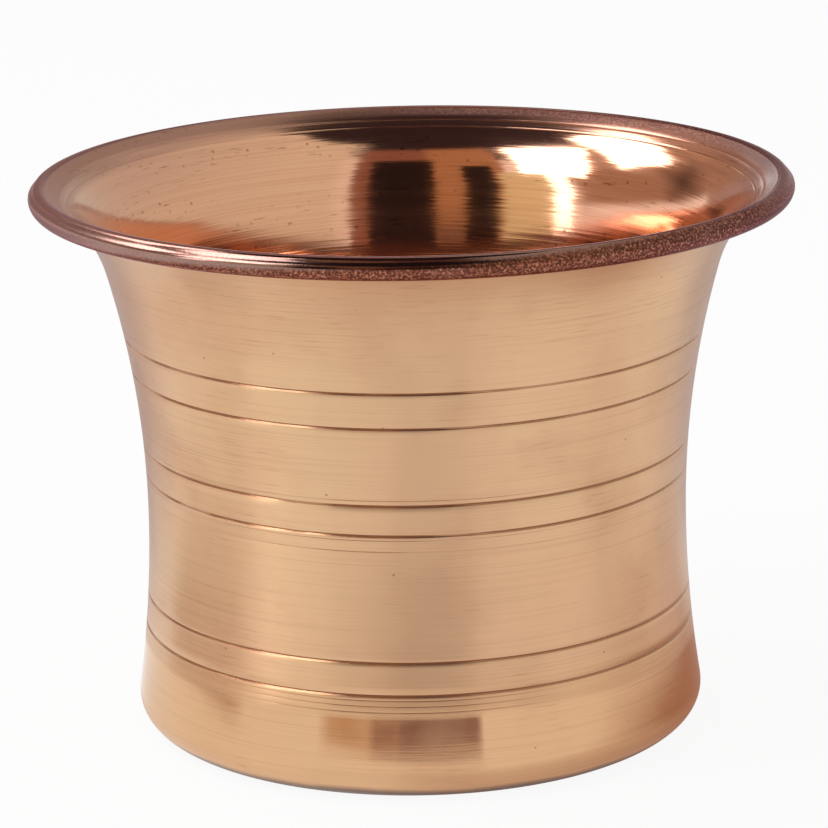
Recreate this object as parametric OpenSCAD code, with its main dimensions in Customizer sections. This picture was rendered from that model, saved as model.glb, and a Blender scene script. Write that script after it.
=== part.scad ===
// Panchpatra: a small flared copper cup that holds water.
// It is put together from a spun side wall, a wire rolled into its lip,
// a flat base disc and the ring of braze that seals the disc in.
// The cup stands on z = 0 with its axis on Z. All sizes are in millimetres.

/* [Overall] */
// Diameter across the rolled rim
rim_d = 76; // [66:0.5:90]
// Height from the foot to the top of the rim
height = 55.7; // [50:0.1:75]

/* [Side wall] */
// Thickness of the copper sheet
sheet_t = 0.6; // [0.4:0.05:1]
// Outside diameter at the waist, where the wall is upright
waist_d = 54.5; // [50:0.1:62]
// Height of the waist
waist_h = 22.2; // [16:0.1:30]
// Outside diameter of the heel, where the wall turns under
heel_d = 57.5; // [51:0.1:64]
// Outside radius of the rounded heel
heel_r = 3; // [2.2:0.1:5]
// Width of the flat foot that is turned in under the base
foot_w = 3.5; // [2.5:0.1:8]

/* [Lip] */
// Outside diameter of the neck, where the lip starts to flare
neck_d = 61.3; // [54:0.1:69]
// Height of the lip, from the neck to the top of the rim
lip_h = 8.5; // [7:0.1:12]
// Diameter of the wire inside the rolled rim
wire_d = 1; // [0.8:0.05:2]
// Clearance between the wire and the roll that holds it
wire_slack = 0.02; // [0:0.01:0.1]
// How far round the wire the edge of the lip is rolled, in degrees
roll_turn = 270; // [200:5:280]

/* [Scribed lines] */
// Height of the middle of the upper pair of lines
upper_pair_h = 38.95; // [34:0.05:44]
// Distance between the two upper lines
upper_pair_gap = 3.55; // [1:0.05:6]
// Height of the middle of the middle pair of lines
middle_pair_h = 27.9; // [24:0.05:32]
// Distance between the two middle lines
middle_pair_gap = 3; // [1:0.05:5]
// Height of the middle of the lower pair of lines
lower_pair_h = 12.2; // [9:0.05:16]
// Distance between the two lower lines
lower_pair_gap = 3.2; // [1:0.05:6]
// Width of a scribed line at the surface
line_w = 0.3; // [0.15:0.01:0.5]
// Depth of a scribed line
line_depth = 0.12; // [0.05:0.01:0.2]

/* [Base] */
// Thickness of the base disc
base_t = 0.8; // [0.5:0.05:1.5]
// How far the braze climbs the inside of the heel above the base disc
braze_rise = 0.6; // [0.2:0.05:1]
// How far the braze laps on to the top of the base disc
braze_lap = 0.8; // [0.3:0.05:2]

/* [Hidden] */
$fn = 256;

copper = "#c98d64";
wire_copper = "#b87346";
braze_gold = "#b98a4a";

// Every bend of the sheet is an arc, and each runs into the next without a corner.
// A bend's radius is that of the sheet's outside face. It is above zero where the bend's centre
// lies outside the cup, and below zero where it lies inside.
// A bend with a larger radius than this is as good as straight
straight_r = 9000;
function micron(x) = round(1000 * x) / 1000;
// The radius that a squared length and a width give, rounded to six digits at the most
function bend_r(square, width) =
    let (r = abs(square) < straight_r * abs(width) ? square / width : straight_r)
    abs(r) < 1000 ? micron(r) : round(100 * r) / 100;

// Heel: turns the wall under, level with the foot
heel_c = [heel_d / 2 - heel_r, heel_r];
heel_inside_r = heel_r - sheet_t;

// Lower wall: upright at the waist, tangent to the heel
waist = [waist_d / 2, waist_h];
from_heel = waist - heel_c;
lower_r = bend_r(from_heel * from_heel - heel_r * heel_r, 2 * (heel_r - from_heel[0]));
lower_c = waist + [lower_r, 0];
heel_out = sign(lower_r) * (lower_c - heel_c) / norm(lower_c - heel_c);

// Upper wall: upright at the waist, passing through the neck
neck_h = height - lip_h;
rise = [neck_d / 2, neck_h] - waist;
upper_r = bend_r(rise * rise, 2 * rise[0]);
upper_c = waist + [upper_r, 0];
neck_angle = asin(rise[1] / upper_r);
neck_out = [cos(neck_angle), -sin(neck_angle)];
neck = upper_c - upper_r * neck_out;

// Rolled rim: the edge of the lip wrapped round the wire
roll_r = wire_d / 2 + wire_slack;
bead_r = roll_r + sheet_t;
bead_c = [rim_d / 2 - bead_r, height - bead_r];

// Lip: leaves the neck along the wall and runs into the roll
to_neck = neck - bead_c;
lip_r = bend_r(roll_r * roll_r - to_neck * to_neck, 2 * (to_neck * neck_out + roll_r));
lip_c = neck + lip_r * neck_out;
from_roll = sign(lip_r) * (lip_c - bead_c);
lip_angle = atan2(-from_roll[1], from_roll[0]);
lip_out = [cos(lip_angle), -sin(lip_angle)];
roll_c = lip_c - (lip_r - roll_r) * lip_out;

// Outside radius of the wall at a height between the heel and the neck
function wall_r(z) =
    let (r = z < waist_h ? lower_r : upper_r)
    waist[0] + r - sign(r) * sqrt(r * r - pow(z - waist_h, 2));

// Moves to a point in three steps, whole millimetres and then whole microns first,
// so that the point keeps its last digits
module at(p) {
    near = [round(p[0]), round(p[1])];
    nearer = [micron(p[0]), micron(p[1])];
    translate(near) translate(nearer - near) translate(p - nearer) children();
}

// A full ring of sheet, for a bend of radius r
module sheet_ring(r) {
    outside = abs(r);
    inside = abs(r + sheet_t);
    // The flats of the circles stay this close to the true curve
    flat_depth = 0.002;
    $fn = ceil(PI * sqrt(max(outside, inside) / (2 * flat_depth)));
    difference() {
        circle(r = max(outside, inside));
        circle(r = min(outside, inside));
    }
}

// Half of the side wall's section, from the foot to the end of the roll
module wall_section() {
    // The outlines that part one bend from the next reach this far past the sheet
    reach = 3;
    foot_below = [heel_c[0], -reach];
    heel_far = heel_c + (heel_r + reach) * heel_out;
    waist_inside = waist - [sheet_t + reach, 0];
    waist_outside = waist + [reach, 0];
    neck_inside = neck - (sheet_t + reach) * neck_out;
    neck_outside = neck + reach * neck_out;
    lip_mid_angle = (neck_angle + lip_angle) / 2;
    lip_mid_out = [cos(lip_mid_angle), -sin(lip_mid_angle)];
    lip_mid_inside = lip_c - (lip_r + sheet_t + reach) * lip_mid_out;
    lip_mid_outside = lip_c - (lip_r - reach) * lip_mid_out;
    roll_inside = bead_c - (bead_r + reach) * lip_out;

    translate([heel_c[0] - foot_w, 0]) square([foot_w, sheet_t]);
    intersection() {
        at(heel_c) sheet_ring(-heel_r);
        polygon([heel_c, foot_below, [heel_far[0], -reach], heel_far]);
    }
    intersection() {
        at(lower_c) sheet_ring(lower_r);
        polygon([heel_c, heel_far, waist_outside, waist_inside]);
    }
    intersection() {
        at(upper_c) sheet_ring(upper_r);
        polygon([waist_inside, waist_outside, neck_outside, neck_inside]);
    }
    intersection() {
        at(lip_c) sheet_ring(lip_r);
        polygon([neck_inside, neck_outside, lip_mid_outside, bead_c, roll_inside, lip_mid_inside]);
    }
    difference() {
        at(roll_c) sheet_ring(roll_r);
        roll_gap(roll_inside);
    }
    sheet_spot([heel_c[0], 0], [0, -1]);
    sheet_spot(heel_c + heel_r * heel_out, heel_out);
    sheet_spot(waist, [1, 0]);
    sheet_spot(neck, neck_out);
    sheet_spot(bead_c - roll_r * lip_out, lip_out);
}

// A round spot within the sheet's thickness, which makes two bends one where they meet.
// The point lies on the outside face, whose direction is out.
module sheet_spot(point, out) {
    translate(point - sheet_t / 2 * out) circle(d = sheet_t / 2, $fn = 32);
}

// The open side of the roll, between the lip and the rolled edge
module roll_gap(lip_side) {
    far = norm(lip_side - bead_c);
    open_angle = 360 - roll_turn;
    lip_side_angle = 180 - lip_angle;
    polygon(concat([bead_c, lip_side],
        [for (part = [0.5, 1]) bead_c + far * [cos(lip_side_angle + part * open_angle),
                                               sin(lip_side_angle + part * open_angle)]]));
}

// The cut of one scribed line, made by a round tool pressed in from outside
module scribed_line(h) {
    tool_r = (line_w * line_w / 4 + line_depth * line_depth) / (2 * line_depth);
    translate([wall_r(h) + tool_r - line_depth, h]) circle(r = tool_r, $fn = 48);
}

module line_pair(middle_h, gap) {
    for (side = [-0.5, 0.5]) scribed_line(middle_h + side * gap);
}

module side_wall() {
    color(copper)
        rotate_extrude()
            difference() {
                wall_section();
                line_pair(upper_pair_h, upper_pair_gap);
                line_pair(middle_pair_h, middle_pair_gap);
                line_pair(lower_pair_h, lower_pair_gap);
            }
}

// The wire lies inside the roll, which stops it from springing open
module rim_wire() {
    color(wire_copper)
        rotate_extrude()
            at(roll_c) circle(d = wire_d);
}

// The disc lies flat on the foot, as wide as the foot is flat
module base_disc() {
    color(copper)
        translate([0, 0, sheet_t])
            cylinder(r = heel_c[0], h = base_t);
}

// The braze fills the corner between the edge of the disc and the inside of the heel
module base_braze() {
    disc_top = sheet_t + base_t;
    color(braze_gold)
        rotate_extrude()
            intersection() {
                at(heel_c) circle(r = heel_inside_r);
                polygon([[heel_c[0], 0],
                         [heel_c[0], disc_top],
                         [heel_c[0] - braze_lap, disc_top],
                         [heel_c[0] + heel_inside_r, disc_top + braze_rise],
                         [heel_c[0] + heel_inside_r, 0]]);
            }
}

side_wall();
rim_wire();
base_disc();
base_braze();
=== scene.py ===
import math

import bpy
from mathutils import Matrix, Quaternion, Vector


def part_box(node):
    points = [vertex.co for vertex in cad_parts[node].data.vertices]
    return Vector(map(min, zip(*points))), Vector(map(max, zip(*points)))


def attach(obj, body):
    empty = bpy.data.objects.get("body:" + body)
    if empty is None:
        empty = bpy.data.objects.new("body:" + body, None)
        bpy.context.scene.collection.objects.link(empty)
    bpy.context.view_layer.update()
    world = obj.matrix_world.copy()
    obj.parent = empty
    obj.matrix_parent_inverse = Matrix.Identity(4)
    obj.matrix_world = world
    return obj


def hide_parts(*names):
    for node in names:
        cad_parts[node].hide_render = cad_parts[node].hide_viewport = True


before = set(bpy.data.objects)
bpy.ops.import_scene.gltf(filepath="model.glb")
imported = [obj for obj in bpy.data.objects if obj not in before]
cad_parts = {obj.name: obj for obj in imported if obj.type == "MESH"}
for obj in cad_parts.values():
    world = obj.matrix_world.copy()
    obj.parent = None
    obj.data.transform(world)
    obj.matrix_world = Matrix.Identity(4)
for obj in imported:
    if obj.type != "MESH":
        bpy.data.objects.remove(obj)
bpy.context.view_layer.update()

# Side wall
# One sheet of copper, spun on a lathe into a flat foot, a round heel, a waisted wall and a flared lip.
# The lip's edge is rolled round a wire. Outside it is scraped satin and scribed with ring lines, and inside
# it is polished. The heat of the work has left the rolled rim dark and grainy.
mm = 0.001
wall_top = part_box("side_wall")[1]
rim_r = wall_top.x
height = wall_top.z
sheet = 0.6 * mm
waist = Vector((27.25 * mm, 22.2 * mm))
heel_r = 3 * mm
heel_c = Vector((28.75 * mm - heel_r, heel_r))
foot_w = 3.5 * mm
neck = Vector((30.65 * mm, height - 8.5 * mm))
wire_r = 0.5 * mm
roll_r = wire_r + 0.02 * mm
roll_turn = math.radians(270)

# Each bend is an arc that runs into the next. Only the heel's centre lies inside the cup.
from_heel = waist - heel_c
lower_r = (from_heel.length_squared - heel_r ** 2) / (2 * (heel_r - from_heel.x))
lower_c = waist + Vector((lower_r, 0))
heel_angle = math.atan2(lower_c.y - heel_c.y, lower_c.x - heel_c.x)
rise = neck - waist
upper_r = rise.length_squared / (2 * rise.x)
upper_c = waist + Vector((upper_r, 0))
neck_angle = math.asin(rise.y / upper_r)
neck_out = Vector((math.cos(neck_angle), -math.sin(neck_angle)))
bead_r = roll_r + sheet
bead_c = Vector((rim_r - bead_r, height - bead_r))
to_neck = neck - bead_c
lip_r = (roll_r ** 2 - to_neck.length_squared) / (2 * (to_neck.dot(neck_out) + roll_r))
lip_c = neck + lip_r * neck_out
lip_angle = math.atan2(bead_c.y - lip_c.y, lip_c.x - bead_c.x)

# Three pairs of deep scribed lines, the light lines that the scribe left near them, and two inside the lip.
# Each line is its place, its width and its depth.
deep = 0.12 * mm
deep_w = 0.3 * mm
pairs = ((38.95 * mm, 3.55 * mm), (27.9 * mm, 3 * mm), (12.2 * mm, 3.2 * mm))
wall_lines = [(h + side * gap, deep_w, deep) for h, gap in pairs for side in (-0.5, 0.5)]
light_heights = (29.95, 25.95, 24.85, 10.15, 9.6, 9.0)
light_deep = 0.014 * mm
light_w = 0.16 * mm
wall_lines += [(h * mm, light_w, light_deep) for h in light_heights]
lip_lines = [(rim_r - inset * mm, light_w, 0.017 * mm) for inset in (3.1, 3.9)]


def bend(centre, radius, start, end, steps):
    """An arc of the section, as points of radius, height and line depth."""
    turns = [start + (end - start) * k / steps for k in range(steps + 1)]
    return [(centre.x + radius * math.cos(a), centre.y + radius * math.sin(a), 0.0) for a in turns]


def line_depth(place, lines):
    """How deep the scribed lines cut at a place. Each is a plain V."""
    cuts = [d * (1 - abs(place - p) / (w / 2)) for p, w, d in lines if abs(place - p) < w / 2]
    return max(cuts, default=0.0)


def places(low, high, spacing, lines):
    """Places from low to high, close together across each scribed line and even elsewhere."""
    near = [line for line in lines if low < line[0] < high]
    count = math.ceil((high - low) / spacing)
    even = [low + (high - low) * k / count for k in range(count + 1)]
    clear = [x for x in even if all(abs(x - p) > 0.6 * w for p, w, d in near)]
    across = [p + w * t / 2 for p, w, d in near for t in (-1, -0.85, -0.15, 0, 0.15, 0.85, 1)]
    return sorted(clear + across)


def wall_outside():
    """The outside of the wall from the heel to the neck, with its lines."""
    start = heel_c.y + heel_r * math.sin(heel_angle)
    for z in places(start, neck.y, 0.9 * mm, wall_lines):
        r = lower_r if z < waist.y else upper_r
        cut = line_depth(z, wall_lines)
        yield waist.x + r - math.sqrt(r * r - (z - waist.y) ** 2) - cut, z, cut


def lip_inside(outer, inner):
    """The inside of the lip from one radius in to another, with its lines."""
    for r in reversed(places(inner, outer, 0.35 * mm, lip_lines)):
        cut = line_depth(r, lip_lines)
        angle = math.acos((lip_c.x - r) / (lip_r + sheet))
        reach = lip_r + sheet - cut
        yield lip_c.x - reach * math.cos(angle), lip_c.y + reach * math.sin(angle), cut


# The tool that rolled the edge pressed the bead a little flat above its widest part
flat_low = math.radians(8)
flat_high = math.radians(74)
flat_depth = 0.12 * mm


def bead_outside():
    """The outside of the rolled edge, with its flat."""
    for r, z, cut in bend(bead_c, bead_r, roll_end, roll_start, 56):
        angle = math.atan2(z - bead_c.y, r - bead_c.x)
        share = min(1.0, max(0.0, (angle - flat_low) / (flat_high - flat_low)))
        reach = bead_r - flat_depth * math.sin(math.pi * share) ** 2
        yield bead_c.x + reach * math.cos(angle), bead_c.y + reach * math.sin(angle), 0.0


SATIN, RIM, POLISHED = range(3)
roll_start = math.pi - lip_angle
roll_end = roll_start - roll_turn
lip_start = lip_c.x - (lip_r + sheet) * math.cos(lip_angle)
lip_end = lip_c.x - (lip_r + sheet) * math.cos(neck_angle)
foot_in = heel_c.x - foot_w
wall_stretches = (
    (SATIN, [(foot_in, sheet, 0), (foot_in, 0, 0), (foot_in + foot_w / 2, 0, 0)]),
    (SATIN, bend(heel_c, heel_r, -math.pi / 2, heel_angle, 16)),
    (SATIN, wall_outside()),
    (SATIN, bend(lip_c, lip_r, math.pi - neck_angle, math.pi - lip_angle, 14)),
    (RIM, bend(bead_c, roll_r, roll_start, roll_end, 14)),
    (RIM, bead_outside()),
    (POLISHED, lip_inside(lip_start, lip_end)),
    (POLISHED, bend(upper_c, upper_r + sheet, math.pi - neck_angle, math.pi, 34)),
    (POLISHED, bend(lower_c, lower_r + sheet, math.pi, math.pi + heel_angle, 26)),
    (POLISHED, bend(heel_c, heel_r - sheet, heel_angle, -math.pi / 2, 9)),
    (POLISHED, [(foot_in, sheet, 0)]),
)


def node(tree, kind, inputs=None, **settings):
    """A new node in a tree. An input is given a plain value, or the socket that feeds it."""
    made = tree.nodes.new(kind)
    for name, value in settings.items():
        setattr(made, name, value)
    for name, value in (inputs or {}).items():
        if isinstance(value, bpy.types.NodeSocket):
            tree.links.new(value, made.inputs[name])
        else:
            made.inputs[name].default_value = value
    return made


def calc(tree, operation, a, b=0.0):
    """One step of arithmetic in a tree."""
    return node(tree, "ShaderNodeMath", {0: a, 1: b}, operation=operation).outputs[0]


def vector_calc(tree, operation, a, b):
    """One step of arithmetic on points in a tree."""
    return node(tree, "ShaderNodeVectorMath", {0: a, 1: b}, operation=operation).outputs[0]


def lathe_tree(finishes):
    """Turns an outline about the cup's axis, a little out of true, and gives each stretch its finish."""
    tree = bpy.data.node_groups.new("Turned on the lathe", "GeometryNodeTree")
    sockets = {"Outline": "Geometry", "Steps round": "Int", "Waver": "Float", "Waver size": "Float",
               "Grain": "Float", "Grain size": "Float", "Scribe size": "Float", "Seed": "Float"}
    for name, kind in sockets.items():
        tree.interface.new_socket(name, in_out="INPUT", socket_type="NodeSocket" + kind)
    tree.interface.new_socket("Geometry", in_out="OUTPUT", socket_type="NodeSocketGeometry")
    given = node(tree, "NodeGroupInput").outputs
    index = node(tree, "GeometryNodeInputIndex").outputs[0]
    outline_size = node(tree, "GeometryNodeAttributeDomainSize", {"Geometry": given["Outline"]})
    count = outline_size.outputs["Point Count"]
    row = calc(tree, "FLOORED_MODULO", index, count)
    column = calc(tree, "FLOOR", calc(tree, "DIVIDE", index, count))
    face_end = calc(tree, "ADD", calc(tree, "FLOORED_MODULO", index, calc(tree, "SUBTRACT", count, 1)), 1)

    def of_outline(kind, value, at):
        sample = {"Geometry": given["Outline"], "Value": value, "Index": at}
        return node(tree, "GeometryNodeSampleIndex", sample, data_type=kind).outputs["Value"]

    def named(kind, name):
        stored = node(tree, "GeometryNodeInputNamedAttribute", {"Name": name}, data_type=kind)
        return stored.outputs["Attribute"]

    def noise(size, place):
        spot = vector_calc(tree, "DIVIDE", place, size)
        texture = {"Vector": spot, "W": given["Seed"], "Scale": 1.0, "Detail": 1.0}
        return node(tree, "ShaderNodeTexNoise", texture, noise_dimensions="4D").outputs[0]

    # The outline's points, repeated at every step round the axis
    place = of_outline("FLOAT_VECTOR", node(tree, "GeometryNodeInputPosition").outputs[0], row)
    angle = calc(tree, "DIVIDE", calc(tree, "MULTIPLY", column, math.tau), given["Steps round"])
    turn = {"Vector": place, "Angle": angle}
    turned = node(tree, "ShaderNodeVectorRotate", turn, rotation_type="Z_AXIS").outputs[0]

    # The waver of hand work, always inwards, the grain of the rolled edge and the press of the scribe
    outwards = vector_calc(tree, "NORMALIZE", vector_calc(tree, "MULTIPLY", turned, (1, 1, 0)), (0, 0, 0))
    waver = calc(tree, "MULTIPLY", noise(given["Waver size"], turned), given["Waver"])
    rough = calc(tree, "MULTIPLY", of_outline("FLOAT", named("FLOAT", "rough"), row), given["Grain"])
    grain = calc(tree, "MULTIPLY", noise(given["Grain size"], turned), rough)
    cut = of_outline("FLOAT", named("FLOAT", "cut"), row)
    pressed = fade(tree, noise(given["Scribe size"], turned), 0.3, 0.48, 0.3, 1.0)
    light = calc(tree, "LESS_THAN", cut, 1.1 * light_deep)
    front = node(tree, "ShaderNodeVectorMath", {0: outwards, 1: (-0.1, -1, 0)}, operation="DOT_PRODUCT")
    held = fade(tree, front.outputs["Value"], 0.8, 0.95, 0.25, 1.0)
    pressed = calc(tree, "MULTIPLY", pressed, calc(tree, "MAXIMUM", held, calc(tree, "SUBTRACT", 1, light)))
    eased = calc(tree, "MULTIPLY", cut, calc(tree, "SUBTRACT", 1, pressed))
    mark = calc(tree, "MULTIPLY", calc(tree, "DIVIDE", cut, deep), pressed)
    inset = calc(tree, "SUBTRACT", eased, calc(tree, "ADD", waver, grain))
    shift = node(tree, "ShaderNodeVectorMath", {0: outwards, "Scale": inset}, operation="SCALE").outputs[0]

    grid = {"Vertices X": calc(tree, "ADD", given["Steps round"], 1), "Vertices Y": count}
    mesh = node(tree, "GeometryNodeMeshGrid", grid).outputs["Mesh"]
    along = of_outline("FLOAT", named("FLOAT", "along"), row)
    for name, value in (("along", along), ("mark", mark)):
        stored = {"Geometry": mesh, "Name": name, "Value": value}
        mesh = node(tree, "GeometryNodeStoreNamedAttribute", stored, data_type="FLOAT").outputs[0]
    finish = of_outline("INT", named("INT", "finish"), face_end)
    stored = {"Geometry": mesh, "Name": "finish", "Value": finish}
    mesh = node(tree, "GeometryNodeStoreNamedAttribute", stored, data_type="INT", domain="FACE").outputs[0]
    moved = {"Geometry": mesh, "Position": vector_calc(tree, "ADD", turned, shift)}
    mesh = node(tree, "GeometryNodeSetPosition", moved).outputs[0]
    mesh = node(tree, "GeometryNodeMergeByDistance", {"Geometry": mesh, "Distance": 0.001 * mm}).outputs[0]
    mesh = node(tree, "GeometryNodeSetShadeSmooth", {0: mesh, "Shade Smooth": True}).outputs[0]
    fold = node(tree, "GeometryNodeInputMeshEdgeAngle").outputs["Unsigned Angle"]
    corner = calc(tree, "GREATER_THAN", fold, math.radians(50))
    sharp = {0: mesh, "Selection": corner, "Shade Smooth": False}
    mesh = node(tree, "GeometryNodeSetShadeSmooth", sharp, domain="EDGE").outputs[0]
    mesh = node(tree, "GeometryNodeRealizeInstances", {0: mesh}).outputs[0]
    for number, material in enumerate(finishes):
        chosen = calc(tree, "COMPARE", named("INT", "finish"), number)
        chosen.node.inputs[2].default_value = 0.5
        painted = {"Geometry": mesh, "Selection": chosen, "Material": material}
        mesh = node(tree, "GeometryNodeSetMaterial", painted).outputs[0]
    node(tree, "NodeGroupOutput", {0: mesh})
    return tree


def turned_piece(name, stretches, finishes, rough=(), **inputs):
    """A finished piece: stretches joined into one outline, turned on the lathe and made a plain mesh."""
    outline = []
    for finish, stretch in stretches:
        for r, z, cut in stretch:
            if not outline or math.dist(outline[-1][:2], (r, z)) > 1e-7:
                outline.append((r, z, cut, finish))
    along = [0.0]
    for before, after in zip(outline, outline[1:]):
        along.append(along[-1] + math.dist(before[:2], after[:2]))
    mesh = bpy.data.meshes.new(name)
    mesh.from_pydata([(r, 0, z) for r, z, cut, finish in outline], [], [])
    columns = {"along": along, "cut": [cut for r, z, cut, finish in outline],
               "rough": [float(finish in rough) for r, z, cut, finish in outline]}
    for label, values in columns.items():
        mesh.attributes.new(label, "FLOAT", "POINT").data.foreach_set("value", values)
    finish_numbers = [finish for r, z, cut, finish in outline]
    mesh.attributes.new("finish", "INT", "POINT").data.foreach_set("value", finish_numbers)
    piece = bpy.data.objects.new(name, mesh)
    bpy.context.scene.collection.objects.link(piece)
    tree = lathe_tree(finishes)
    modifier = piece.modifiers.new("Lathe", "NODES")
    modifier.node_group = tree
    for socket in tree.interface.items_tree:
        if socket.name in inputs:
            modifier[socket.identifier] = inputs[socket.name]
    evaluated = piece.evaluated_get(bpy.context.evaluated_depsgraph_get())
    shaped = bpy.data.meshes.new_from_object(evaluated)
    piece.modifiers.remove(modifier)
    piece.data = shaped
    return piece


def metal(name, streak=0.0):
    """A new metal material and its shader. The streak is how far the shine spreads across the rings."""
    material = bpy.data.materials.new(name)
    material.use_nodes = True
    tree = material.node_tree
    shader = tree.nodes["Principled BSDF"]
    shader.inputs["Metallic"].default_value = 1
    if streak:
        shader.inputs["Anisotropic"].default_value = streak
        shader.inputs["Anisotropic Rotation"].default_value = 0.25
        marks = node(tree, "ShaderNodeTangent", direction_type="RADIAL", axis="Z")
        tree.links.new(marks.outputs[0], shader.inputs["Tangent"])
    return material, tree, shader


def object_place(tree):
    """The point on the piece, in metres."""
    return node(tree, "ShaderNodeTexCoord").outputs["Object"]


def ring_noise(tree, around, along, detail=2.0):
    """Noise drawn out round the cup, with this many waves a metre round it and along its section."""
    flat = vector_calc(tree, "MULTIPLY", object_place(tree), (around, around, 0))
    run = node(tree, "ShaderNodeAttribute", attribute_name="along").outputs["Fac"]
    up = node(tree, "ShaderNodeCombineXYZ", {"Z": calc(tree, "MULTIPLY", run, along)}).outputs[0]
    texture = {"Vector": vector_calc(tree, "ADD", flat, up), "Scale": 1.0, "Detail": detail}
    return node(tree, "ShaderNodeTexNoise", texture).outputs[0]


def cloud_noise(tree, waves, detail=3.0):
    """Even noise, with this many waves a metre."""
    texture = {"Vector": object_place(tree), "Scale": waves, "Detail": detail}
    return node(tree, "ShaderNodeTexNoise", texture).outputs[0]


def fade(tree, value, low, high, to_low=0.0, to_high=1.0):
    """Carries a value from one span to another, and holds it at the ends."""
    spans = {"Value": value, "From Min": low, "From Max": high, "To Min": to_low, "To Max": to_high}
    return node(tree, "ShaderNodeMapRange", spans).outputs[0]


def tint(tree, share, a, b):
    """A colour between two, by the share of the second."""
    made = node(tree, "ShaderNodeMix", {0: share, 6: a, 7: b}, data_type="RGBA")
    return made.outputs[2]


def pits(tree, waves, size, share):
    """Scattered small pits: 1 in a pit and 0 elsewhere."""
    cells = node(tree, "ShaderNodeTexVoronoi", {"Vector": object_place(tree), "Scale": waves})
    hole = fade(tree, cells.outputs["Distance"], 0.4 * size * waves, size * waves, 1.0, 0.0)
    chance = node(tree, "ShaderNodeSeparateColor", {0: cells.outputs["Color"]}).outputs[0]
    return calc(tree, "MULTIPLY", hole, calc(tree, "LESS_THAN", chance, share))


def bumped(tree, shader, height_value, depth, wander=None):
    """Raises the surface by a height from 0 to 1 times a depth in metres. A wander turns it sideways."""
    raised = {"Height": height_value, "Distance": depth, "Strength": 1.0}
    if wander:
        round_about = node(tree, "ShaderNodeTangent", direction_type="RADIAL", axis="Z").outputs[0]
        sway = {0: round_about, "Scale": wander}
        aside = node(tree, "ShaderNodeVectorMath", sway, operation="SCALE").outputs[0]
        surface = node(tree, "ShaderNodeNewGeometry").outputs["Normal"]
        leaning = vector_calc(tree, "ADD", surface, aside)
        raised["Normal"] = vector_calc(tree, "NORMALIZE", leaning, (0, 0, 0))
    bump = node(tree, "ShaderNodeBump", raised)
    tree.links.new(bump.outputs[0], shader.inputs["Normal"])


def line_mark(tree):
    """How deep a place lies in a scribed line, as a share of the deepest."""
    return node(tree, "ShaderNodeAttribute", attribute_name="mark").outputs["Fac"]


def height_above(tree):
    """The height above the foot."""
    return node(tree, "ShaderNodeSeparateXYZ", {0: object_place(tree)}).outputs["Z"]


def between(tree, value, low, high, soft):
    """1 where a value lies between two others, with soft ends."""
    return calc(tree, "MULTIPLY", fade(tree, value, low - soft, low), fade(tree, value, high + soft, high))


def upright_noise(tree, around, up, detail=3.0):
    """Noise drawn out up the cup, with this many waves a metre round it and up it."""
    stretched = vector_calc(tree, "MULTIPLY", object_place(tree), (around, around, up))
    texture = {"Vector": stretched, "Scale": 1.0, "Detail": detail}
    return node(tree, "ShaderNodeTexNoise", texture).outputs[0]


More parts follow.
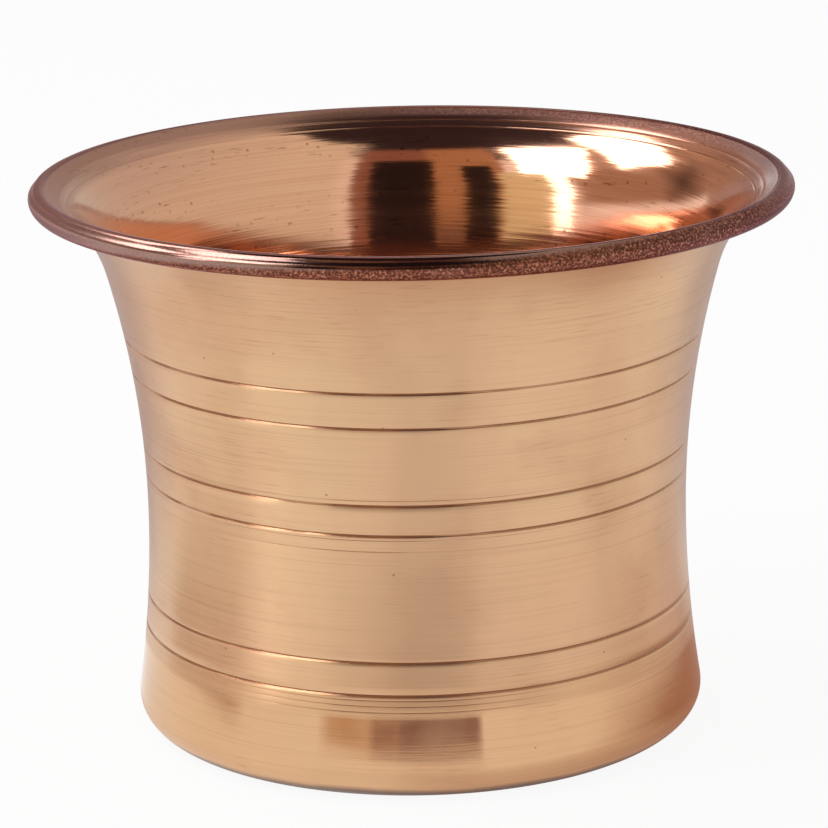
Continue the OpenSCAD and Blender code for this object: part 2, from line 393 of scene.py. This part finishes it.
def satin_copper():
    """Scraped copper: fine tool rings, rubbed patches, pits, a burnished band, dark deposits in the lines,
    and a painted contact shade along the foot.
    """
    material, tree, shader = metal("Satin turned copper", 0.8)
    up = height_above(tree)
    fine = ring_noise(tree, 36, 6000, 3.0)
    short = ring_noise(tree, 260, 6000, 2.0)
    broad = ring_noise(tree, 14, 900, 2.0)
    smudge = cloud_noise(tree, 80, 4.0)
    rubbed = upright_noise(tree, 120, 22)
    hue = cloud_noise(tree, 30, 3.0)
    holes = pits(tree, 300, 0.15 * mm, 0.5)
    line = line_mark(tree)
    burnish = between(tree, up, 3.6 * mm, 8.2 * mm, 0.9 * mm)
    colour = tint(tree, fade(tree, hue, 0.38, 0.62), (0.75, 0.485, 0.285, 1), (0.76, 0.455, 0.275, 1))
    colour = tint(tree, fade(tree, rubbed, 0.45, 0.7, 0.0, 0.4), colour, (0.63, 0.385, 0.225, 1))
    colour = tint(tree, fade(tree, smudge, 0.52, 0.75, 0.0, 0.5), colour, (0.62, 0.35, 0.21, 1))
    # The wall is darker towards the rim.
    colour = tint(tree, fade(tree, up, 42 * mm, 52 * mm, 0.0, 0.4), colour, (0.68, 0.39, 0.22, 1))
    colour = tint(tree, fade(tree, up, 13 * mm, 8 * mm, 0.0, 0.55), colour, (0.72, 0.42, 0.215, 1))
    colour = tint(tree, fade(tree, fine, 0.5, 0.72, 0.0, 0.32), colour, (0.50, 0.29, 0.17, 1))
    near_lip = fade(tree, up, 42 * mm, 46 * mm, 0.0, 0.7)
    handled = calc(tree, "MAXIMUM", fade(tree, smudge, 0.5, 0.66), near_lip)
    scratched = calc(tree, "MULTIPLY", fade(tree, short, 0.6, 0.72, 0.0, 0.5), handled)
    colour = tint(tree, scratched, colour, (0.45, 0.22, 0.12, 1))
    colour = tint(tree, calc(tree, "MULTIPLY", holes, 0.7), colour, (0.20, 0.10, 0.06, 1))
    colour = tint(tree, fade(tree, line, 0.005, 0.1, 0.0, 0.72), colour, (0.40, 0.17, 0.09, 1))
    # Painted contact shade: just above the foot the wall is painted dark brown and made less metallic, with
    # a ragged top edge, stopping short of the very bottom edge.
    uneven = calc(tree, "ADD", up, calc(tree, "MULTIPLY", smudge, mm))
    foot_contact_shade = fade(tree, uneven, 1.9 * mm, 1.2 * mm, 0.0, 0.9)
    unshaded_foot_edge = fade(tree, up, 0.3 * mm, 0.05 * mm, 0.0, 0.7)
    unshaded_foot_edge = calc(tree, "MULTIPLY", unshaded_foot_edge, fade(tree, smudge, 0.4, 0.6, 0.3, 1.0))
    foot_contact_shade = calc(tree, "MULTIPLY", foot_contact_shade, calc(tree, "SUBTRACT", 1, unshaded_foot_edge))
    colour = tint(tree, foot_contact_shade, colour, (0.16, 0.07, 0.045, 1))
    tree.links.new(colour, shader.inputs["Base Color"])
    dirt_and_foot_shade = calc(tree, "MAXIMUM", foot_contact_shade, fade(tree, line, 0.05, 0.3, 0.0, 0.35))
    tree.links.new(calc(tree, "SUBTRACT", 1, dirt_and_foot_shade), shader.inputs["Metallic"])
    dull = fade(tree, smudge, 0.3, 0.7, 0.29, 0.38)
    cut_bright = calc(tree, "MULTIPLY", fade(tree, line, 0.02, 0.12), 0.13)
    bright = calc(tree, "MAXIMUM", calc(tree, "MULTIPLY", burnish, 0.23), cut_bright)
    tree.links.new(calc(tree, "SUBTRACT", dull, bright), shader.inputs["Roughness"])
    relief = calc(tree, "ADD", calc(tree, "MULTIPLY", calc(tree, "ADD", fine, short), 0.35), broad)
    level = calc(tree, "SUBTRACT", 1, calc(tree, "MULTIPLY", bright, 3.2))
    bumped(tree, shader, calc(tree, "MULTIPLY", relief, level), 0.013 * mm)
    return material


def axis_distance(tree):
    """The distance from the cup's axis."""
    flat = vector_calc(tree, "MULTIPLY", object_place(tree), (1, 1, 0))
    return node(tree, "ShaderNodeVectorMath", {0: flat}, operation="LENGTH").outputs["Value"]


def polished_copper():
    """Polished copper: bright, ringed by the polishing, specked, and browned by heat towards the rim."""
    material, tree, shader = metal("Polished copper")
    fine = ring_noise(tree, 30, 5000, 3.0)
    broad = ring_noise(tree, 10, 500, 2.0)
    jitter = ring_noise(tree, 30, 7500, 2.0)
    crowded = fade(tree, ring_noise(tree, 35, 300), 0.44, 0.56)
    specks = calc(tree, "MULTIPLY", pits(tree, 900, 0.26 * mm, 0.7), crowded)
    dashes = calc(tree, "MULTIPLY", fade(tree, ring_noise(tree, 420, 3500), 0.63, 0.72), crowded)
    ragged = fade(tree, ring_noise(tree, 40, 800, 3.0), 0.3, 0.7, -0.7 * mm, 0.7 * mm)
    heat = fade(tree, calc(tree, "ADD", axis_distance(tree), ragged), 33.2 * mm, 35.5 * mm)
    colour = tint(tree, fade(tree, fine, 0.45, 0.75), (0.88, 0.47, 0.31, 1), (0.78, 0.39, 0.245, 1))
    sideways = node(tree, "ShaderNodeSeparateXYZ", {0: object_place(tree)}).outputs["X"]
    # The inner lip is darker and more purple towards the left side.
    towards_left = fade(tree, sideways, -12 * mm, -30 * mm)
    left_lip_tint = fade(tree, axis_distance(tree), 28.5 * mm, 32.5 * mm, 0.0, 0.6)
    left_lip_tint = calc(tree, "MULTIPLY", left_lip_tint, towards_left)
    colour = tint(tree, left_lip_tint, colour, (0.56, 0.29, 0.235, 1))
    colour = tint(tree, calc(tree, "MULTIPLY", heat, 0.75), colour, (0.36, 0.175, 0.15, 1))
    grain = cloud_noise(tree, 4400, 3.0)
    edge = calc(tree, "ADD", axis_distance(tree), calc(tree, "MULTIPLY", ragged, 0.5))
    crept = fade(tree, edge, 35 * mm, 35.7 * mm)
    crept = calc(tree, "MULTIPLY", crept, fade(tree, sideways, -14 * mm, 6 * mm, 0.0, 0.8))
    scale = tint(tree, fade(tree, grain, 0.4, 0.55), (0.62, 0.31, 0.25, 1), (0.27, 0.125, 0.115, 1))
    scale = tint(tree, fade(tree, sideways, 31 * mm, 35 * mm, 0.0, 0.55), scale, (0.2, 0.105, 0.1, 1))
    colour = tint(tree, crept, colour, scale)
    tree.links.new(fade(tree, crept, 0.0, 1.0, 1.0, 0.6), shader.inputs["Metallic"])
    line = fade(tree, line_mark(tree), 0.02, 0.09, 0.0, 0.85)
    marks = calc(tree, "MULTIPLY", calc(tree, "MAXIMUM", specks, dashes), 0.65)
    colour = tint(tree, marks, colour, (0.30, 0.11, 0.06, 1))
    colour = tint(tree, line, colour, (0.20, 0.08, 0.05, 1))
    tree.links.new(colour, shader.inputs["Base Color"])
    gloss = fade(tree, broad, 0.3, 0.7, 0.08, 0.14)
    scorched = calc(tree, "MULTIPLY", heat, fade(tree, towards_left, 0.0, 1.0, 0.13, 0.34))
    dulled = calc(tree, "MAXIMUM", scorched, calc(tree, "MULTIPLY", line, 0.15))
    tree.links.new(calc(tree, "ADD", gloss, dulled), shader.inputs["Roughness"])
    relief = calc(tree, "ADD", calc(tree, "MULTIPLY", fine, 0.2), broad)
    bumped(tree, shader, relief, 0.018 * mm, fade(tree, jitter, 0.2, 0.8, -0.02, 0.02))
    return material


def rim_copper():
    """Heat darkened copper: purple brown and smooth on top, red brown with a fine grain of scale below.
    One side was scorched more, and there the scale reaches over the top."""
    material, tree, shader = metal("Heat darkened copper")
    shader.inputs["Specular Tint"].default_value = (0.8, 0.62, 0.64, 1)
    grain = cloud_noise(tree, 4400, 3.0)
    peel = cloud_noise(tree, 1500, 2.0)
    patch = cloud_noise(tree, 110, 4.0)
    flame = {0: object_place(tree), 1: (0.75, -0.66, 0)}
    towards = node(tree, "ShaderNodeVectorMath", flame, operation="DOT_PRODUCT").outputs["Value"]
    scorched = fade(tree, towards, 4 * mm, 28 * mm)
    sideways = node(tree, "ShaderNodeSeparateXYZ", {0: object_place(tree)}).outputs["X"]
    up = height_above(tree)
    lowered = calc(tree, "SUBTRACT", up, calc(tree, "MULTIPLY", sideways, 30 * bead_r))
    below = fade(tree, lowered, bead_c.y + 0.45 * bead_r, bead_c.y + 0.1 * bead_r)
    scaled = calc(tree, "MULTIPLY", fade(tree, patch, 0.3, 0.5, 0.6, 1.0), below)
    scaled = fade(tree, scaled, 0, 1, 0.15, 1.0)
    smooth = tint(tree, fade(tree, patch, 0.35, 0.68), (0.42, 0.27, 0.23, 1), (0.36, 0.22, 0.19, 1))
    smooth = tint(tree, calc(tree, "MULTIPLY", scorched, 0.85), smooth, (0.175, 0.1, 0.093, 1))
    top = fade(tree, up, bead_c.y + 0.6 * bead_r, bead_c.y + 0.8 * bead_r, 0.0, 0.85)
    smooth = tint(tree, top, smooth, (0.35, 0.2, 0.175, 1))
    # The left end of the rim is painted lighter and made rougher: partly worn oxide, partly a painted sheen
    # that stands in for the light it mirrors there.
    left_sheen_and_wear = fade(tree, sideways, -24 * mm, -33 * mm)
    smooth = tint(tree, calc(tree, "MULTIPLY", left_sheen_and_wear, 0.7), smooth, (0.44, 0.28, 0.26, 1))
    redder = (0.29, 0.095, 0.054, 1)
    scale = tint(tree, fade(tree, sideways, 14 * mm, 34 * mm), redder, (0.21, 0.083, 0.08, 1))
    colour = tint(tree, scaled, smooth, scale)
    dark = calc(tree, "MULTIPLY", fade(tree, grain, 0.46, 0.54), scaled)
    colour = tint(tree, calc(tree, "MULTIPLY", dark, 0.8), colour, (0.07, 0.025, 0.02, 1))
    light = calc(tree, "MULTIPLY", fade(tree, grain, 0.42, 0.34), scaled)
    colour = tint(tree, calc(tree, "MULTIPLY", light, 0.7), colour, (0.58, 0.26, 0.18, 1))
    tree.links.new(colour, shader.inputs["Base Color"])
    dull = calc(tree, "ADD", fade(tree, scaled, 0.15, 1.0, 0.13, 0.3), calc(tree, "MULTIPLY", left_sheen_and_wear, 0.2))
    tree.links.new(dull, shader.inputs["Roughness"])
    relief = calc(tree, "ADD", calc(tree, "MULTIPLY", grain, 0.7), calc(tree, "MULTIPLY", peel, 0.5))
    bumped(tree, shader, calc(tree, "MULTIPLY", relief, scaled), 0.035 * mm)
    return material


wall_finishes = (satin_copper(), rim_copper(), polished_copper())
side_wall = turned_piece("spun_wall", wall_stretches, wall_finishes, (RIM,),
                         **{"Steps round": 288, "Waver": 0.05 * mm, "Waver size": 24 * mm,
                            "Grain": 0.03 * mm, "Grain size": 2.4 * mm, "Scribe size": 9 * mm, "Seed": 3.0})
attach(side_wall, "root")
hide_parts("side_wall")

# Rim wire
# A ring of plain drawn copper wire inside the rolled edge, which keeps the lip round and stiff.
# It shows only where the roll stops short, under the rim.


def drawn_copper():
    """Drawn wire: dull copper with a little brown."""
    material, tree, shader = metal("Drawn copper wire")
    patch = cloud_noise(tree, 300, 3.0)
    colour = tint(tree, fade(tree, patch, 0.3, 0.7), (0.40, 0.18, 0.10, 1), (0.26, 0.11, 0.07, 1))
    tree.links.new(colour, shader.inputs["Base Color"])
    tree.links.new(fade(tree, patch, 0.3, 0.7, 0.3, 0.5), shader.inputs["Roughness"])
    return material


rim_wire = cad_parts["rim_wire"]
rim_wire.data.materials.clear()
rim_wire.data.materials.append(drawn_copper())

# Base disc
# A flat disc of copper sheet that lies on the turned-in foot and closes the cup.
# It was faced on the lathe, so both sides have rings and a small dimple from the centre.
disc_low, disc_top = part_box("base_disc")
disc_r = disc_top.x
ring_gap = 1.6 * mm
ring_depth = 0.025 * mm
dimple_r = 1.2 * mm
dimple_depth = 0.2 * mm


def faced(z, side, first, last):
    """One side of the disc between two radii, with its shallow rings. The dimple is at the centre."""
    steps = 6 * math.ceil(abs(last - first) / ring_gap)
    for k in range(steps + 1):
        r = first + (last - first) * k / steps
        ring = ring_depth * (0.5 - 0.5 * math.cos(math.tau * r / ring_gap))
        dimple = dimple_depth * max(0.0, 1 - (r / dimple_r) ** 2) ** 2
        yield r, z - side * (ring + dimple), 0.0


def faced_copper():
    """The disc's copper: tool rings from facing, and patches of brown water stain."""
    material, tree, shader = metal("Faced copper", 0.6)
    fine = ring_noise(tree, 18, 4500, 3.0)
    stain = cloud_noise(tree, 120, 4.0)
    colour = tint(tree, fade(tree, stain, 0.4, 0.7), (0.62, 0.35, 0.20, 1), (0.45, 0.23, 0.13, 1))
    colour = tint(tree, fade(tree, fine, 0.5, 0.75, 0.0, 0.5), colour, (0.34, 0.16, 0.09, 1))
    tree.links.new(colour, shader.inputs["Base Color"])
    tree.links.new(fade(tree, stain, 0.3, 0.7, 0.24, 0.4), shader.inputs["Roughness"])
    bumped(tree, shader, fine, 0.015 * mm)
    return material


disc_stretches = (
    (0, faced(disc_low.z, -1, 0.0, disc_r)),
    (0, faced(disc_top.z, 1, disc_r, 0.0)),
)
base_disc = turned_piece("base_plate", disc_stretches, (faced_copper(),),
                         **{"Steps round": 192, "Waver": 0.0, "Waver size": 1.0, "Grain": 0.0,
                            "Grain size": 1.0, "Scribe size": 1.0, "Seed": 0.0})
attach(base_disc, "root")
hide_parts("base_disc")

# Braze
# A ring of brass braze, run hot into the corner between the disc and the heel so that the cup holds water.
# It sets a little uneven and keeps a dull yellow skin.
braze_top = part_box("base_braze")[1]
braze_lap = 0.8 * mm
braze_in = disc_r - braze_lap
braze_bite = 0.1 * mm


def braze_stretch():
    """The section of the braze: along the heel, then hollowed from the wall down to the disc."""
    start = -math.pi / 2
    end = math.asin((braze_top.z - heel_c.y) / (heel_r - sheet))
    yield from bend(heel_c, heel_r - sheet, start, end, 10)
    edge = heel_c.x + (heel_r - sheet) * math.cos(end)
    for k in range(1, 9):
        share = k / 8
        r = edge + (braze_in - edge) * share
        z = braze_top.z + (disc_top.z - braze_top.z) * (1 - (1 - share) ** 2)
        yield r, z, 0.0
    yield disc_r, disc_top.z - braze_bite, 0.0
    yield disc_r, disc_low.z, 0.0


def braze_brass():
    """Cast braze: dull yellow, frosted, with darker flux stains."""
    material, tree, shader = metal("Brazing brass")
    patch = cloud_noise(tree, 350, 4.0)
    grain = cloud_noise(tree, 1800, 2.0)
    colour = tint(tree, fade(tree, patch, 0.35, 0.7), (0.50, 0.34, 0.13, 1), (0.24, 0.13, 0.06, 1))
    tree.links.new(colour, shader.inputs["Base Color"])
    tree.links.new(fade(tree, grain, 0.3, 0.7, 0.35, 0.55), shader.inputs["Roughness"])
    bumped(tree, shader, calc(tree, "ADD", grain, patch), 0.05 * mm)
    return material


base_braze = turned_piece("braze_ring", ((0, braze_stretch()),), (braze_brass(),), (0,),
                          **{"Steps round": 256, "Waver": 0.0, "Waver size": 1.0, "Grain": 0.02 * mm,
                             "Grain size": 2 * mm, "Scribe size": 1.0, "Seed": 7.0})
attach(base_braze, "root")
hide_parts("base_braze")

# Floor
# A plain white table under the cup. Part of what the camera and the metal see of it is its own white,
# and the rest is lit, so that it stays pale and keeps the cup's shadow.
own_white = 0.92


def seen_by_sight(tree):
    """1 for what is seen directly, mirrored or through glass, and 0 for light that spreads."""
    path = node(tree, "ShaderNodeLightPath").outputs
    seen = calc(tree, "MAXIMUM", path["Is Camera Ray"], path["Is Glossy Ray"])
    return calc(tree, "MAXIMUM", seen, path["Is Transmission Ray"])


def white_by_sight(tree, lit, share):
    """Mixes plain white into a lit surface, by its share of what is seen."""
    white = node(tree, "ShaderNodeEmission", {"Color": (1, 1, 1, 1), "Strength": 1.0}).outputs[0]
    share = calc(tree, "MULTIPLY", seen_by_sight(tree), share)
    return node(tree, "ShaderNodeMixShader", {0: share, 1: lit, 2: white}).outputs[0]


def pale_table():
    """A matt white table top."""
    material = bpy.data.materials.new("Pale table")
    material.use_nodes = True
    tree = material.node_tree
    shader = tree.nodes["Principled BSDF"]
    shader.inputs["Base Color"].default_value = (0.9, 0.9, 0.9, 1)
    shader.inputs["Roughness"].default_value = 0.7
    shader.inputs["Specular IOR Level"].default_value = 0.2
    surface = white_by_sight(tree, shader.outputs[0], own_white)
    tree.links.new(surface, tree.nodes["Material Output"].inputs["Surface"])
    return material


table_half = 3.0
table_mesh = bpy.data.meshes.new("table")
corners = [(x * table_half, y * table_half, 0) for x, y in ((-1, -1), (1, -1), (1, 1), (-1, 1))]
table_mesh.from_pydata(corners, [], [(0, 1, 2, 3)])
table_mesh.materials.append(pale_table())
table = bpy.data.objects.new("table", table_mesh)
bpy.context.scene.collection.objects.link(table)

# Light
# A white room with a lit strip and two lit windows on the left. Plain walls, boards and a roof stand round
# the cup, and the copper mirrors them. Directions are degrees to the left of the camera and degrees up.


def direction(left, up):
    """The way from the cup towards a side and a height, as one metre."""
    left = math.radians(left)
    up = math.radians(up)
    return Vector((-math.sin(left) * math.cos(up), -math.cos(left) * math.cos(up), math.sin(up)))


aim = Vector((0, 0, height / 2))


def soft_box(name, left, up, distance, width, tall, watts, lean=0.0):
    """A soft box that faces the cup, leaning by some degrees."""
    lamp = bpy.data.lights.new(name, "AREA")
    lamp.shape = "RECTANGLE"
    lamp.size = width
    lamp.size_y = tall
    lamp.energy = watts
    box = bpy.data.objects.new(name, lamp)
    out = direction(left, up)
    box.location = aim + out * distance
    leaning = Quaternion((0, 0, 1), math.radians(lean))
    box.rotation_euler = (out.to_track_quat("Z", "Y") @ leaning).to_euler()
    bpy.context.scene.collection.objects.link(box)


def cloth(name, rows, colour, soft=0.0):
    """A cloth through rows of points, seen only as a mirror image in the metal. The share soft of it fades
    out towards each edge."""
    points = [point for row in rows for point in row]
    tall = len(rows)
    width = len(rows[0])
    faces = []
    for j in range(tall - 1):
        for i in range(width - 1):
            a = j * width + i
            faces.append((a, a + 1, a + width + 1, a + width))
    mesh = bpy.data.meshes.new(name)
    mesh.from_pydata(points, [], faces)
    across = [k / (width - 1) for k in range(width)]
    upwards = [k / (tall - 1) for k in range(tall)]
    inset = [min(s, 1 - s, t, 1 - t) for t in upwards for s in across]
    cover = [min(1.0, share / soft) if soft else 1.0 for share in inset]
    mesh.attributes.new("cover", "FLOAT", "POINT").data.foreach_set("value", cover)
    material = bpy.data.materials.new(name)
    material.use_nodes = True
    tree = material.node_tree
    glow = node(tree, "ShaderNodeEmission", {"Color": colour, "Strength": 1.0}).outputs[0]
    clear = node(tree, "ShaderNodeBsdfTransparent").outputs[0]
    share = node(tree, "ShaderNodeAttribute", attribute_name="cover").outputs["Fac"]
    surface = node(tree, "ShaderNodeMixShader", {0: share, 1: clear, 2: glow}).outputs[0]
    tree.links.new(surface, tree.nodes["Material Output"].inputs["Surface"])
    mesh.materials.append(material)
    hung = bpy.data.objects.new(name, mesh)
    bpy.context.scene.collection.objects.link(hung)
    hung.visible_camera = False
    hung.visible_diffuse = False
    hung.visible_shadow = False


cloth_steps = [k / 12 for k in range(13)]


def upright_cloth(name, left, right, low, high, distance, colour, soft=0.0):
    """A cloth that hangs round the cup between two sides and two heights."""
    sides = [left + (right - left) * s for s in cloth_steps]
    heights = [low + (high - low) * t for t in cloth_steps]
    rows = [[aim + direction(side, up) * distance for side in sides] for up in heights]
    cloth(name, rows, colour, soft)


def level_cloth(name, height_up, near_left, near_right, far_left, far_right, colour, soft=0.0):
    """A level cloth between four corners."""
    rows = []
    for t in cloth_steps:
        start = Vector(near_left).lerp(Vector(far_left), t)
        end = Vector(near_right).lerp(Vector(far_right), t)
        rows.append([(*start.lerp(end, s), height_up) for s in cloth_steps])
    cloth(name, rows, colour, soft)


# The lit strip and windows
soft_box("side_strip", 65, 23, 0.7, 0.1, 0.39, 0.32)
soft_box("near_window", 68.5, 48.5, 0.7, 0.3, 0.29, 1.26, 15)
soft_box("far_window", 116, 49, 0.7, 0.28, 0.28, 1.15, 10)

# Walls and boards behind the camera
upright_cloth("warm_wall", 42, 8, 9, 62, 1.0, (0.43, 0.255, 0.135, 1))
upright_cloth("brown_wall", 8, -25.7, 9, 62, 1.0, (0.265, 0.135, 0.095, 1))
upright_cloth("dark_board", 10, -18, 8, 52, 0.9, (0.02, 0.014, 0.014, 1))
upright_cloth("dark_stand", 36.5, 22.5, 8, 46, 0.9, (0.02, 0.014, 0.014, 1))
upright_cloth("low_shelf", 24, 9, 6, 16, 0.92, (0.2, 0.12, 0.08, 1))
upright_cloth("light_panel", 63, 38.5, 8, 39, 0.95, (0.75, 0.74, 0.48, 1))

# Walls at the left, the back and the right
upright_cloth("left_wall", 168, 66, 13.5, 58, 0.95, (0.41, 0.288, 0.217, 1), 0.04)
upright_cloth("left_board", 143, 115, 13, 36, 0.9, (0.07, 0.045, 0.04, 1), 0.5)
upright_cloth("left_light", 168, 137, 30, 50, 0.9, (0.62, 0.48, 0.37, 1), 0.4)
upright_cloth("left_corner", 174, 142, -1, 20, 0.97, (0.42, 0.32, 0.3, 1), 0.1)
upright_cloth("back_wall", 195, 165, 13, 37, 1.0, (0.25, 0.175, 0.135, 1), 0.2)
upright_cloth("right_wall", -22, -180, 1, 75, 1.05, (0.72, 0.74, 0.645, 1), 0.02)

# Low bars close to the foot, each a little in front of the one before
bar_right = -18.7
bar_low = -23.4
bar_high = -20.6
upright_cloth("front_bar", 32, bar_right, bar_low, bar_high, 63 * mm, (0.62, 0.42, 0.28, 1), 0.1)
upright_cloth("front_block", 16.5, bar_right, bar_low, bar_high, 62.8 * mm, (0.28, 0.1, 0.06, 1), 0.08)
upright_cloth("dark_block", 7.5, bar_right, bar_low, bar_high, 62.6 * mm, (0.13, 0.012, 0.006, 1), 0.06)
upright_cloth("left_bar", 100, 56, -26, -17, 58 * mm, (0.4, 0.2, 0.11, 1), 0.2)

# Roof, and the shaded parts of the table
roof_height = 1.0
level_cloth("dark_roof", roof_height, (-0.65, -0.6), (0.31, -0.6), (-0.72, 0.35), (0.36, 0.35),
            (0.035, 0.024, 0.03, 1))
level_cloth("brown_roof", roof_height, (-0.72, 0.35), (0.36, 0.35), (-0.75, 0.9), (0.4, 0.9),
            (0.36, 0.23, 0.15, 1))
level_cloth("shaded_table", 0.3 * mm, (-0.005, -0.043), (0.066, -0.03), (-0.005, 0.048), (0.076, 0.048),
            (0.45, 0.26, 0.2, 1), 0.35)
level_cloth("grey_table", 0.2 * mm, (-0.3, 0.03), (0.3, 0.03), (-0.3, 0.6), (0.3, 0.6),
            (0.58, 0.56, 0.6, 1), 0.09)

world = bpy.data.worlds.new("white_room")
bpy.context.scene.world = world
world.use_nodes = True
sky = world.node_tree
sky_lit = node(sky, "ShaderNodeBackground", {"Color": (1, 1, 1, 1), "Strength": 0.5}).outputs[0]
sky_white = node(sky, "ShaderNodeBackground", {"Color": (1, 1, 1, 1), "Strength": 1.0}).outputs[0]
sky_mixed = node(sky, "ShaderNodeMixShader", {0: seen_by_sight(sky), 1: sky_lit, 2: sky_white}).outputs[0]
sky.links.new(sky_mixed, sky.nodes["World Output"].inputs["Surface"])

# Camera
# It looks down on the cup from close by with a long lens, leaning a little to one side.
camera_up = 15.58
camera_distance = 0.39
camera_lean = math.radians(1.08)
camera_aim = Vector((-0.15 * mm, 0.8 * mm, 30.8 * mm))
camera_data = bpy.data.cameras.new("camera")
camera_data.sensor_width = 36
camera_data.lens = 167.65
camera = bpy.data.objects.new("camera", camera_data)
camera.location = Vector((0, 0, 28 * mm)) + direction(0, camera_up) * camera_distance
ahead = (camera_aim - camera.location).normalized()
right = ahead.cross(Vector((0, 0, 1))).normalized()
upright = right.cross(ahead)
lean_right = right * math.cos(camera_lean) - upright * math.sin(camera_lean)
lean_up = right * math.sin(camera_lean) + upright * math.cos(camera_lean)
camera.rotation_euler = Matrix((lean_right, lean_up, -ahead)).transposed().to_euler()
bpy.context.scene.collection.objects.link(camera)
bpy.context.scene.camera = camera
bpy.context.scene.view_settings.view_transform = "Standard"
